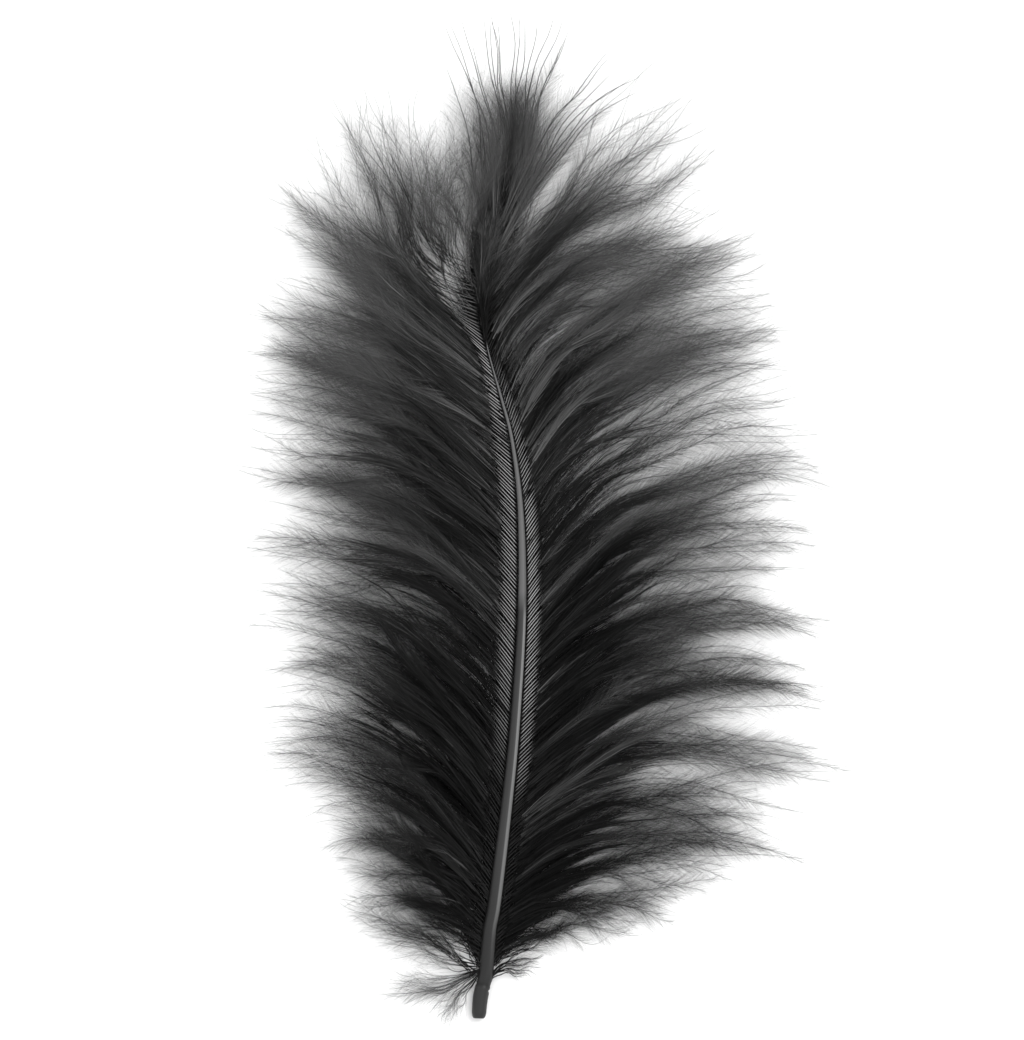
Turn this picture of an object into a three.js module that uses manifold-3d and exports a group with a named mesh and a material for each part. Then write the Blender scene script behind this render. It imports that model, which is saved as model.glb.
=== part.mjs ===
// A soft black plume, lying on its back on a surface.
//
// A feather grows as one piece, so this is one solid: a tapered shaft, bare at the quill end, with
// the down on either side of it gathered into curved, pointed locks. The locks lie in three layers.
// The lowest ones are pressed flat against the surface, and the highest ones arch over them.
//
// Millimetres, +Z up. The shaft runs along +Y, from the cut end of the quill to the tip. Places in
// the tables below are counted from the cut end. The finished plume is then moved so that its
// origin is the middle of its outline, on the surface.

import * as THREE from 'three';
import { mergeVertices } from 'three/addons/utils/BufferGeometryUtils.js';
import Module from 'manifold-3d';

// ---- Driving dimensions -------------------------------------------------------------------------

// The shaft's middle line: across, along.
const SHAFT_LINE = [
  [0, 0], [1.0, 7.2], [2.4, 17.7], [4.1, 32.7], [5.3, 44.7], [6.3, 61], [6.1, 76],
  [4.8, 86.7], [3.2, 93], [1.2, 100.2], [0.3, 106], [1.2, 113], [3.2, 121], [4.6, 130],
];
const SHAFT_END = 130; // where the shaft has thinned out among the barbs
const QUILL_RADIUS = 1.0;
const STUB_RADIUS = 1.08; // the bare end below the first barbs is a little fuller
const STUB_LENGTH = 5.0;
const SHAFT_TIP_RADIUS = 0.15;
const SHAFT_TAPER = 1.25; // above 1, the shaft thins slowly at first and faster near the tip
const SHAFT_HEIGHT = 3.4; // of the middle line above the surface, once clear of the quill end
const SHAFT_LIFT_LENGTH = 30; // over which it rises to that height
const SHAFT_SIDES = 8;
const SHAFT_STEPS = 26;

// One row for each lock, from the quill up: where its root is along the shaft, the angle at which
// it leaves the shaft, the place of its tip (across, along) and the direction in which the tip
// points. Angles are in degrees. A direction of 0 is across to the right, and 90 is up the feather.
const LEFT_LOCKS = [
  [6.7, 150, -6.0, -3.0, 245],
  [7.0, 140, -9.5, 0.5, 225],
  [7.4, 115, -16.5, 4.9, 155],
  [8.2, 95, -9.2, 7.6, 190],
  [9.2, 80, -19.8, 14.6, 160],
  [11.0, 65, -22.7, 20.5, 185],
  [13.5, 55, -24.0, 25.4, 192],
  [16.5, 48, -25.5, 31.0, 184],
  [20.0, 44, -36.0, 37.5, 186],
  [23.5, 42, -31.5, 42.5, 176],
  [27.5, 40, -37.8, 46.8, 190],
  [31.5, 40, -30.5, 52.0, 184],
  [35.5, 40, -35.3, 56.7, 190],
  [39.5, 40, -30.3, 60.0, 205],
  [44.0, 40, -35.6, 65.3, 160],
  [49.0, 40, -39.0, 68.4, 180],
  [54.0, 40, -28.5, 73.5, 178],
  [59.0, 40, -32.3, 78.0, 190],
  [64.0, 40, -36.5, 85.7, 150],
  [69.0, 40, -31.0, 90.5, 180],
  [74.0, 40, -31.0, 96.0, 175],
  [79.0, 40, -33.0, 101.0, 170],
  [83.5, 40, -38.6, 104.7, 155],
  [88.0, 40, -29.0, 109.0, 165],
  [92.0, 42, -29.0, 114.0, 155],
  [95.5, 45, -30.5, 120.5, 140],
  [98.5, 50, -33.0, 126.5, 140],
  [101.5, 58, -26.5, 131.5, 125],
  [104.0, 68, -21.5, 137.0, 110],
  [106.5, 78, -17.2, 141.5, 100],
  [109.0, 86, -13.8, 138.0, 92],
  [111.5, 92, -10.8, 141.5, 100],
  [114.0, 95, -7.0, 138.5, 95],
];
const RIGHT_LOCKS = [
  [7.2, 75, 8.2, 5.0, -35],
  [7.6, 60, 11.3, 8.1, 15],
  [9.5, 45, 18.0, 13.6, 25],
  [11.5, 45, 25.5, 15.6, 10],
  [13.5, 45, 33.8, 15.9, -8],
  [16.0, 42, 54.8, 19.2, -25],
  [19.0, 40, 42.0, 24.5, -15],
  [22.0, 40, 49.2, 29.7, -25],
  [25.5, 40, 55.2, 34.3, -12],
  [29.0, 40, 50.0, 39.0, -15],
  [32.5, 40, 57.0, 43.7, -35],
  [36.0, 40, 48.5, 47.5, -15],
  [39.5, 40, 52.2, 51.5, -25],
  [43.0, 40, 54.8, 57.3, -12],
  [46.5, 40, 47.0, 62.0, -10],
  [50.5, 38, 48.0, 67.5, -8],
  [54.5, 36, 53.3, 71.4, -25],
  [58.0, 36, 45.5, 75.5, 0],
  [62.0, 34, 53.3, 79.5, -10],
  [66.0, 34, 51.8, 86.4, 0],
  [70.0, 34, 47.7, 91.4, 8],
  [74.0, 34, 46.5, 98.1, 15],
  [78.0, 34, 48.0, 101.0, 5],
  [82.5, 34, 42.5, 105.5, 20],
  [87.0, 32, 43.8, 110.6, 15],
  [91.0, 32, 43.0, 115.5, 25],
  [95.0, 32, 41.0, 120.0, 30],
  [99.0, 32, 38.3, 125.3, 38],
  [103.0, 32, 35.1, 132.0, 42],
  [107.0, 30, 32.6, 136.7, 35],
  [111.0, 28, 27.3, 141.0, 30],
];
// The tuft past the shaft's end leaves it almost straight on. Its angles count to the left.
const TUFT_LOCKS = [
  [113.5, 12, -7.8, 146.7, 118],
  [116.0, 8, -3.9, 150.5, 110],
  [119.0, 4, 0.0, 151.2, 98],
  [122.0, 0, 4.5, 151.8, 88],
  [120.5, -4, 9.5, 151.0, 78],
  [118.0, -8, 15.3, 149.6, 60],
  [115.0, -14, 20.1, 144.6, 45],
];
const LEFT = 1;
const RIGHT = -1;

// How far a lock keeps to its leaving direction and to its tip's direction, as shares of its span.
const ROOT_REACH = 0.42;
const TIP_REACH = 0.36;

const LOCK_WIDTH = 6.8;
const LOCK_THICKNESS = 2.0;
const LOCK_SIDES = 4; // a flat diamond: sharp edges, with a ridge above and below
const LOCK_STEPS = 7;
const SHORT_LOCK = 25; // a lock with a smaller span is narrower and flatter in proportion
const TIP_SHARE = 0.05; // of the full width, left at the very tip
const ROOT_SHARE = 0.3; // of the full width, where the lock leaves the shaft
const WIDEST_AT = 0.4; // share of the way along
const TIP_DRAW = 1.6; // above 1, a lock stays full for longer and then draws to its point

// The layers of locks: height of the middle of the lock, height of its tip, and its roll about its
// own line, in degrees, which laps its edge over the lock beside it. Neighbours take turns.
const LAYERS = [
  { middle: 0.35, tip: 0.5, roll: 0 },
  { middle: 9.0, tip: 3.6, roll: 14 },
  { middle: 4.8, tip: 2.0, roll: 9 },
];

// The middle of the plume's outline, from the cut end of the quill.
const OUTLINE_MIDDLE = new THREE.Vector2(9.04, 74.39);

const DOWN_BLACK = 0x1b1b1c; // dyed down

// ---- Shaping ------------------------------------------------------------------------------------

const wasm = await Module();
wasm.setup();

const radians = THREE.MathUtils.degToRad;

function toManifold(geometry) {
  const bare = geometry.clone();
  bare.deleteAttribute('normal');
  bare.deleteAttribute('uv');
  const merged = mergeVertices(bare);
  return new wasm.Manifold(new wasm.Mesh({
    numProp: 3,
    vertProperties: new Float32Array(merged.attributes.position.array),
    triVerts: new Uint32Array(merged.index.array),
  }));
}

function toGeometry(manifold) {
  const mesh = manifold.getMesh();
  const geometry = new THREE.BufferGeometry();
  geometry.setAttribute('position', new THREE.BufferAttribute(mesh.vertProperties, 3));
  geometry.setIndex(new THREE.BufferAttribute(mesh.triVerts, 1));
  geometry.computeVertexNormals();
  return geometry;
}

// Bends an upright unit cylinder along a curve. sizeAt gives the half width, the half thickness
// and the roll at a share of the way along.
function sweep(curve, sides, steps, sizeAt) {
  const geometry = new THREE.CylinderGeometry(1, 1, 1, sides, steps);
  const position = geometry.attributes.position;
  const place = new THREE.Vector3();
  const up = new THREE.Vector3(0, 0, 1);
  for (let i = 0; i < position.count; i += 1) {
    const share = 0.5 + position.getY(i);
    const size = sizeAt(share);
    const along = curve.getTangent(share);
    const across = new THREE.Vector3().crossVectors(up, along).normalize();
    across.applyAxisAngle(along, size.roll);
    const out = new THREE.Vector3().crossVectors(along, across);
    place.copy(curve.getPoint(share));
    place.addScaledVector(across, position.getZ(i) * size.halfWidth);
    place.addScaledVector(out, position.getX(i) * size.halfThickness);
    position.setXYZ(i, place.x, place.y, place.z);
  }
  return geometry;
}

// ---- The shaft ----------------------------------------------------------------------------------

function shaftHeight(along) {
  const lift = THREE.MathUtils.smoothstep(along, 0, SHAFT_LIFT_LENGTH);
  return THREE.MathUtils.lerp(QUILL_RADIUS, SHAFT_HEIGHT, lift);
}

const shaftCurve = new THREE.CatmullRomCurve3(
  SHAFT_LINE.map(([x, y]) => new THREE.Vector3(x, y, shaftHeight(y))),
  false,
  'centripetal',
);

// The point of the shaft at a distance along +Y, and the direction in which the shaft runs there.
function shaftAt(along) {
  let low = 0;
  let high = 1;
  while (high - low > 1e-4) {
    const middle = (low + high) / 2;
    if (shaftCurve.getPoint(middle).y < along) low = middle;
    else high = middle;
  }
  const tangent = shaftCurve.getTangent(low);
  return { point: shaftCurve.getPoint(low), heading: Math.atan2(tangent.y, tangent.x) };
}

function shaftRadius(along) {
  if (along < STUB_LENGTH) return STUB_RADIUS;
  const left = 1 - Math.min(1, along / SHAFT_END) ** SHAFT_TAPER;
  return THREE.MathUtils.lerp(SHAFT_TIP_RADIUS, QUILL_RADIUS, left);
}

function makeShaft() {
  return sweep(shaftCurve, SHAFT_SIDES, SHAFT_STEPS, (share) => {
    const radius = shaftRadius(shaftCurve.getPoint(share).y);
    return { halfWidth: radius, halfThickness: radius, roll: 0 };
  });
}

// ---- The locks ----------------------------------------------------------------------------------

function lockCurve([root, leaving, tipAcross, tipAlong, heading], side, layer) {
  const { point, heading: shaftHeading } = shaftAt(root);
  const tip = new THREE.Vector3(tipAcross, tipAlong, layer.tip);
  const span = Math.hypot(tip.x - point.x, tip.y - point.y);
  const out = shaftHeading + side * radians(leaving);
  const end = radians(heading);
  const height = THREE.MathUtils.lerp(point.z, layer.middle, Math.min(1, span / SHORT_LOCK));
  const first = new THREE.Vector3(
    point.x + ROOT_REACH * span * Math.cos(out),
    point.y + ROOT_REACH * span * Math.sin(out),
    height,
  );
  const second = new THREE.Vector3(
    tip.x - TIP_REACH * span * Math.cos(end),
    tip.y - TIP_REACH * span * Math.sin(end),
    height,
  );
  return { curve: new THREE.CubicBezierCurve3(point, first, second, tip), span };
}

// Width of a lock as a share of its full width: narrow at the root, full, then drawn to a point.
function fullness(share) {
  if (share < WIDEST_AT) {
    return THREE.MathUtils.lerp(ROOT_SHARE, 1, Math.sin((Math.PI / 2) * (share / WIDEST_AT)));
  }
  const past = (share - WIDEST_AT) / (1 - WIDEST_AT);
  return THREE.MathUtils.lerp(1, TIP_SHARE, past ** TIP_DRAW);
}

function makeLock(row, side, layer) {
  const { curve, span } = lockCurve(row, side, layer);
  const scale = Math.min(1, span / SHORT_LOCK);
  return sweep(curve, LOCK_SIDES, LOCK_STEPS, (share) => ({
    halfWidth: (scale * LOCK_WIDTH * fullness(share)) / 2,
    halfThickness: (scale * LOCK_THICKNESS * Math.sqrt(fullness(share))) / 2,
    roll: side * radians(layer.roll),
  }));
}

function makeVane(rows, side) {
  return rows.map((row, i) => makeLock(row, side, LAYERS[i % LAYERS.length]));
}

// ---- The feather --------------------------------------------------------------------------------

// What lies below the surface that the plume rests on.
function makeGround() {
  const size = 400;
  const ground = new THREE.BoxGeometry(size, size, size);
  ground.translate(0, 0, -size / 2);
  return ground;
}

function makeFeather() {
  const locks = [
    ...makeVane(LEFT_LOCKS, LEFT),
    ...makeVane(RIGHT_LOCKS, RIGHT),
    ...makeVane(TUFT_LOCKS, LEFT),
  ];
  let solid = toManifold(makeShaft());
  for (const lock of locks) {
    solid = solid.add(toManifold(lock));
  }
  solid = solid.subtract(toManifold(makeGround()));
  const geometry = toGeometry(solid);
  geometry.translate(-OUTLINE_MIDDLE.x, -OUTLINE_MIDDLE.y, 0);
  return geometry;
}

const down = new THREE.MeshStandardMaterial({ color: DOWN_BLACK, roughness: 0.75, metalness: 0 });
const feather = new THREE.Mesh(makeFeather(), down);
feather.name = 'feather';

const plume = new THREE.Group();
plume.add(feather);

export default plume;
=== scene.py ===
"""A soft black plume, lying on its back on a pale surface.

The plume grew as one piece. Its parts are the shaft, the barbs that leave the shaft on both sides,
and the barbules, the fine side hairs that make each barb fluffy. The barbs follow the locks that
the solid model gives: a lock is a curve from its root on the shaft to its tip at the fringe, and
every barb runs between two neighbouring locks and is drawn towards one of them.

Sizes are in millimetres, counted from the cut end of the quill with +Y to the tip, and are turned
into metres and shifted to the model's frame when a mesh is made.
"""

from __future__ import annotations

import logging
import math
from dataclasses import dataclass, field
from enum import Enum

import bmesh
import bpy
import numpy as np
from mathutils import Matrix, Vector

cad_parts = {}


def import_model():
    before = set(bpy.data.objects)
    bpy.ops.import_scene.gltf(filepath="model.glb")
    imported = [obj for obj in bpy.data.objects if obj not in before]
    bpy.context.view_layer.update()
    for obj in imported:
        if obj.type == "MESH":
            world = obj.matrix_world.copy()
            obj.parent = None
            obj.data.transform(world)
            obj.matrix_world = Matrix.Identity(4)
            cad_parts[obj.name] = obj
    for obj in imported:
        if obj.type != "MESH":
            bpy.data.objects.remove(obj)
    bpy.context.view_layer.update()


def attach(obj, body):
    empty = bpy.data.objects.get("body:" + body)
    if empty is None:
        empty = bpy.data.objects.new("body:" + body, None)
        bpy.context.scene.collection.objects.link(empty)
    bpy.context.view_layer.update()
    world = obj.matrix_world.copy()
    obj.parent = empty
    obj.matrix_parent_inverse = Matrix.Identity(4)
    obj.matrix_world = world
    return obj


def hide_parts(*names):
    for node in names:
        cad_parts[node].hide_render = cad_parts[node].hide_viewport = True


LOG = logging.getLogger("plume")

MM = 0.001
BODY = "root"
NODE = "feather"
OUTLINE_MIDDLE = (9.04, 74.39)  # of the solid model, from the cut end of the quill
FLOOR_CLEARANCE = 0.06  # the lowest that a fibre lies
MAP = "OFBake"  # the name of every piece's own map
MAP_EDGE = 0.01  # half the width of a strip on that map
TONES = (0.02, 0.98)  # the darkest and palest place on it
STRIP_TURN = 0.45  # how far strips turn about their own length, as a spread of their upward side
BEND_WIDTH = 0.8  # how wide a strip is at its bend, as a share of its root
BARB_CORNERS = (90, 210, 330)  # where round a barb its three edges are, in degrees
BARB_FLATNESS = 0.4  # a barb's thickness, as a share of its width
BARB_TIP = 0.18  # half a barb's width at its tip, as a share of its width
CLOSE_RINGS = 8  # rings at a barb's base that are one step apart, and the others are two

UPWARD = np.array([0.0, 0.0, 1.0])

Array = np.ndarray
Stops = tuple[tuple[float, str], ...]  # a ramp's positions and hex colours
Steps = tuple[tuple[float, float], ...]  # places along the shaft or a barb, each with its value


class Side(Enum):
    """A side of the shaft. The value turns an angle off the shaft to that side."""

    LEFT = 1
    RIGHT = -1


@dataclass(frozen=True)
class Lock:
    """One lock of down: where it grows and where its tip lies.

    Angles are in degrees. A heading of 0 is across to the right, and 90 is up the plume. The last
    three are shares of what is usual: how much down the barbs carry, how near to the tip the barbs
    come, and how much they curl.
    """

    root: float
    leaving: float
    tip_across: float
    tip_along: float
    heading: float
    fullness: float = 1.0
    reach: float = 1.0
    curl: float = 1.0


# The shaft's middle line from above: across, along.
SHAFT_LINE = (
    (-0.2, 0), (0.05, 3), (0.6, 5.4), (0.95, 7), (1.5, 13.5), (2.25, 17.7), (4.1, 32.7),
    (5.3, 44.7), (6.3, 61), (6.1, 76),
    (4.8, 86.7), (3.2, 93), (1.2, 100.2), (0.3, 106), (1.2, 113), (3.2, 121), (4.6, 130),
)

# The locks of the two vanes, from the quill to the tip.
LEFT_LOCKS = (
    Lock(8.2, 78, -15.0, 11.5, 172, fullness=0.28),
    Lock(9.2, 68, -20.5, 15.5, 168, fullness=0.4),
    Lock(11.0, 60, -22.7, 20.5, 180, fullness=0.78),
    Lock(13.5, 55, -24.0, 25.4, 192, fullness=1.2),
    Lock(16.5, 48, -25.5, 31.0, 184, fullness=1.25),
    Lock(20.0, 44, -35.0, 37.5, 186, fullness=0.68),
    Lock(23.5, 42, -30.5, 42.5, 176, fullness=0.5),
    Lock(27.5, 40, -37.0, 46.8, 190, fullness=0.9),
    Lock(31.5, 40, -30.5, 52.0, 184),
    Lock(35.5, 40, -35.3, 56.7, 190),
    Lock(39.5, 40, -30.3, 60.0, 205, fullness=0.75),
    Lock(44.0, 40, -34.0, 65.3, 160, fullness=0.54, reach=0.82),
    Lock(49.0, 40, -37.0, 68.4, 180, fullness=0.56, reach=0.84),
    Lock(54.0, 40, -31.5, 73.5, 178, fullness=0.88),
    Lock(59.0, 40, -34.5, 78.0, 190, fullness=1.3, reach=1.08),
    Lock(64.0, 40, -37.0, 85.7, 150, fullness=1.2, reach=1.08),
    Lock(69.0, 40, -35.5, 90.5, 180, fullness=1.15, reach=1.08),
    Lock(74.0, 40, -34.5, 96.0, 175, fullness=1.1, reach=1.08),
    Lock(79.0, 40, -33.0, 101.0, 170, fullness=0.7),
    Lock(83.5, 40, -37.6, 104.7, 155, fullness=0.6),
    Lock(88.0, 40, -32.5, 109.0, 165, fullness=1.2, reach=1.05),
    Lock(92.0, 36, -32.0, 114.0, 155, fullness=1.3, reach=1.08),
    Lock(95.5, 30, -30.5, 120.5, 140, fullness=0.92, curl=1.3),
    Lock(98.5, 30, -33.0, 126.5, 140, fullness=0.52, curl=1.6),
    Lock(101.5, 40, -26.5, 131.5, 125, fullness=0.4, curl=1.8),
    Lock(104.0, 60, -21.5, 137.0, 110, fullness=0.38, curl=2.0),
    Lock(106.5, 80, -17.2, 141.5, 100, fullness=0.32, curl=2.2),
    Lock(109.0, 90, -13.8, 138.0, 92, fullness=0.3, curl=2.2),
    Lock(111.5, 92, -10.8, 141.5, 100, fullness=0.3, curl=2.2),
    Lock(114.0, 90, -7.0, 138.5, 95, fullness=0.3, curl=2.0),
)
RIGHT_LOCKS = (
    Lock(8.0, 52, 13.0, 12.2, 12, fullness=0.8),
    Lock(9.5, 45, 19.0, 14.6, 20, fullness=1.1),
    Lock(11.5, 45, 26.5, 16.4, 8, fullness=1.2),
    Lock(13.5, 45, 34.5, 16.8, -8, fullness=1.2),
    Lock(16.0, 42, 54.8, 19.2, -25, reach=0.95),
    Lock(19.0, 40, 42.0, 24.5, -15, reach=0.95),
    Lock(22.0, 40, 49.2, 29.7, -25, fullness=0.78, reach=0.92),
    Lock(25.5, 40, 55.2, 35.8, -12, fullness=0.62, reach=0.92),
    Lock(29.0, 40, 50.0, 41.2, -15, fullness=0.95, reach=0.97),
    Lock(32.5, 40, 57.0, 44.2, -35, fullness=1.15),
    Lock(36.0, 40, 48.5, 48.5, -15, fullness=0.75),
    Lock(39.5, 40, 52.2, 52.6, -25),
    Lock(43.0, 40, 54.8, 57.3, -12),
    Lock(46.5, 40, 47.0, 62.0, -10),
    Lock(50.5, 38, 48.0, 67.5, -8),
    Lock(54.5, 36, 53.3, 71.4, -25),
    Lock(58.0, 36, 45.5, 75.5, 0, fullness=1.1, reach=1.05),
    Lock(62.0, 34, 53.3, 79.5, -10, fullness=0.85),
    Lock(66.0, 34, 51.8, 86.4, 0, fullness=0.48),
    Lock(70.0, 34, 47.7, 91.4, 8, fullness=0.36),
    Lock(74.0, 34, 46.5, 98.1, 15, fullness=0.38, reach=1.05),
    Lock(78.0, 34, 49.0, 101.0, 5, fullness=0.85, reach=1.02),
    Lock(82.5, 34, 46.5, 105.5, 20, fullness=1.0, reach=1.05),
    Lock(87.0, 32, 46.0, 107.8, 12, fullness=0.9, reach=1.05),
    Lock(91.0, 32, 43.6, 113.2, 20, fullness=0.35, reach=1.05),
    Lock(95.0, 32, 40.5, 120.0, 31, fullness=0.4, reach=1.05),
    Lock(99.0, 34, 38.6, 125.2, 35, fullness=0.78, reach=1.12, curl=1.2),
    Lock(103.0, 38, 35.1, 131.2, 42, fullness=0.5, reach=1.05, curl=1.2),
    Lock(107.0, 42, 32.6, 136.7, 35, fullness=0.36, curl=1.2),
    Lock(111.0, 44, 27.3, 141.0, 30, fullness=0.34, curl=1.2),
)
# The long thin hairs at the tip, from left to right.
TUFT_LOCKS = (
    Lock(112.5, 20, -7.8, 146.7, 118),
    Lock(115.0, 12, -3.9, 150.5, 112),
    Lock(116.0, 9, -1.5, 151.4, 106),
    Lock(118.0, 6, 0.5, 150.6, 100),
    Lock(119.0, 3, 3.3, 151.5, 94),
    Lock(121.0, 0, 5.7, 151.8, 88),
    Lock(120.5, -4, 9.5, 151.0, 78),
    Lock(118.5, -8, 13.2, 150.0, 62),
    Lock(117.0, -10, 15.3, 149.6, 58),
    Lock(115.0, -14, 20.1, 144.6, 45),
    Lock(112.5, -18, 25.0, 141.5, 25),
    Lock(111.5, -20, 27.3, 139.5, 18),
)
# The thin down below those hairs, from left to right.
COLUMN_LOCKS = (
    Lock(109.0, 44, -3.0, 138.6, 130, fullness=0.5),
    Lock(112.0, 32, -1.8, 136.2, 122, fullness=0.55),
    Lock(114.0, 20, 1.5, 138.6, 112, fullness=0.7),
    Lock(118.0, 8, 4.0, 140.6, 98, fullness=0.7),
    Lock(121.0, 0, 6.0, 142.0, 90, fullness=0.7),
    Lock(119.0, -6, 7.5, 139.8, 82, fullness=0.65),
    Lock(116.0, -12, 10.0, 138.8, 70, fullness=0.6),
    Lock(112.0, -20, 12.3, 135.4, 62, fullness=0.25),
    Lock(109.0, -27, 15.0, 131.8, 52, fullness=0.25),
    Lock(105.0, -32, 18.0, 128.0, 46, fullness=0.35),
)
# The pale wavy barbs left of that down.
CROWN_LOCKS = (
    Lock(107.0, 75, -13.0, 128.5, 110, fullness=0.22, curl=2.2),
    Lock(108.0, 70, -9.0, 139.5, 108, fullness=0.7, curl=2.0),
    Lock(109.5, 64, -7.0, 129.5, 98, fullness=0.2, curl=2.2),
    Lock(111.0, 58, -6.0, 140.5, 104, fullness=0.62, curl=2.0),
    Lock(113.0, 52, -4.5, 130.0, 92, fullness=0.2, curl=2.2),
    Lock(115.0, 44, -3.5, 133.5, 122, fullness=0.26, curl=1.5),
)
# The small lobe that covers the shaft's thin end.
COVER_LOCKS = (
    Lock(101.5, -4, 4.5, 117.0, 62),
    Lock(103.5, -2, 3.5, 120.0, 70),
    Lock(105.5, 4, 2.5, 123.0, 82),
    Lock(108.0, 12, 1.5, 126.0, 96),
    Lock(111.0, 14, 2.0, 129.0, 92),
)
# The single thin barbs at both sides of the quill.
LEFT_WISPS = (
    Lock(6.7, 150, -4.8, -2.0, 250),
    Lock(6.8, 138, -6.8, -0.6, 240),
    Lock(6.9, 130, -9.2, -0.8, 228),
    Lock(7.0, 122, -13.8, 2.0, 200),
    Lock(7.2, 120, -17.8, 5.6, 158),
    Lock(7.4, 112, -15.6, 6.6, 168),
    Lock(7.8, 100, -10.5, 8.0, 196, fullness=0.6),
    Lock(8.2, 86, -20.0, 14.4, 160, fullness=0.5),
)
RIGHT_WISPS = (
    Lock(6.4, 62, 7.6, 5.3, -28),
    Lock(6.6, 45, 9.9, 8.5, 20),
    Lock(6.8, 35, 9.6, 9.9, 30),
)

# How strong the painted highlight on the bare bases of the barbs is, by where they leave the shaft.
LEFT_BASE_HIGHLIGHT = ((33, 0), (40, 0.25), (50, 0.6), (60, 0.8), (99, 0.8), (103, 0.45), (109, 0.5), (112, 0))
RIGHT_BASE_HIGHLIGHT = ((31, 0), (36, 0.5), (46, 0.75), (55, 0.9), (75, 0.9), (82, 0.55), (92, 0.45), (99, 0))

# How long those bases are, by where the barbs leave the shaft.
LEFT_BARE = (
    (7, 1.5), (20, 2.4), (40, 3.4), (55, 4.2), (84, 4.0), (91, 3.0), (97, 2.4), (101, 4.0),
    (106, 6.0),
)
RIGHT_BARE = ((7, 1.5), (20, 2.4), (40, 3.2), (60, 3.3), (75, 2.9), (90, 2.4), (100, 1.6))

# Where the dense part of the vanes ends and the loose fringe starts: along, left edge, right edge.
DENSE_EDGE = (
    (8, -9, 9), (18, -17, 30), (25, -20, 37), (40, -25, 43), (60, -27, 43), (78, -29, 44),
    (100, -30, 40), (110, -28, 40), (122, -25, 33), (130, -18, 25), (139, -5, 12),
)


# ---- Arrays -------------------------------------------------------------------------------------


def smoothstep(value: Array) -> Array:
    """Eases a share from 0 to 1, with level ends."""
    held = np.clip(value, 0.0, 1.0)
    return held * held * (3.0 - 2.0 * held)


def eased(value: Array, start: float, length: float) -> Array:
    """Eases from 0 at a start to 1 a length further on."""
    return smoothstep((value - start) / length)


def unit(vectors: Array) -> Array:
    """Scales vectors in the last axis to length 1."""
    return vectors / np.maximum(np.linalg.norm(vectors, axis=-1, keepdims=True), 1e-9)


def graded(steps: Steps, places: Array) -> Array:
    """Reads a row of steps at any places, evenly graded from one step to the next."""
    return np.interp(places, *np.array(steps, float).T)


def level(value: float) -> Steps:
    """Steps that have one value all along the shaft."""
    return ((0, value), (130, value))


def drift(place: Array, pitch: float, rng: np.random.Generator) -> Array:
    """Smooth random values between -1 and 1 along a line.

    Args:
        place: Positions along the line, in any shape.
        pitch: Distance between the line's independent values.
        rng: Where the values come from.

    Returns:
        One value for each position.
    """
    steps = place / pitch
    steps = steps - steps.min()
    values = rng.uniform(-1.0, 1.0, int(steps.max()) + 3)
    low = np.floor(steps).astype(int)
    share = smoothstep(steps - low)
    return values[low] * (1.0 - share) + values[low + 1] * share


def smooth_line(points: Array, per_span: int) -> Array:
    """Runs a Catmull-Rom curve through points.

    Args:
        points: The points, one a row.
        per_span: Steps between two points.

    Returns:
        The curve's points.
    """
    ends = np.vstack([2 * points[0] - points[1], points, 2 * points[-1] - points[-2]])
    share = np.linspace(0.0, 1.0, per_span, endpoint=False)[:, None]
    spans = []
    for before, start, end, after in zip(ends, ends[1:], ends[2:], ends[3:]):
        spans.append(
            0.5
            * (
                2 * start
                + (end - before) * share
                + (2 * before - 5 * start + 4 * end - after) * share**2
                + (3 * start - before - 3 * end + after) * share**3
            )
        )
    return np.vstack([*spans, points[-1:]])


# ---- Meshes -------------------------------------------------------------------------------------


def to_frame(points: Array) -> Array:
    """Turns millimetres from the quill's cut end into metres in the model's frame."""
    return (points - np.array([*OUTLINE_MIDDLE, 0.0])) * MM


def across(start: Array, end: Array, width: Array, rng: np.random.Generator) -> Array:
    """Half the width of thin strips, each turned a little about its own length.

    Args:
        start: Where each strip starts.
        end: Where it heads.
        width: How wide it is.
        rng: Where the strips' random turns come from.

    Returns:
        A vector across each strip.
    """
    face = unit(UPWARD + rng.normal(0.0, STRIP_TURN, (len(start), 3)))
    return unit(np.cross(end - start, face)) * (width / 2)[:, None]


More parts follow.
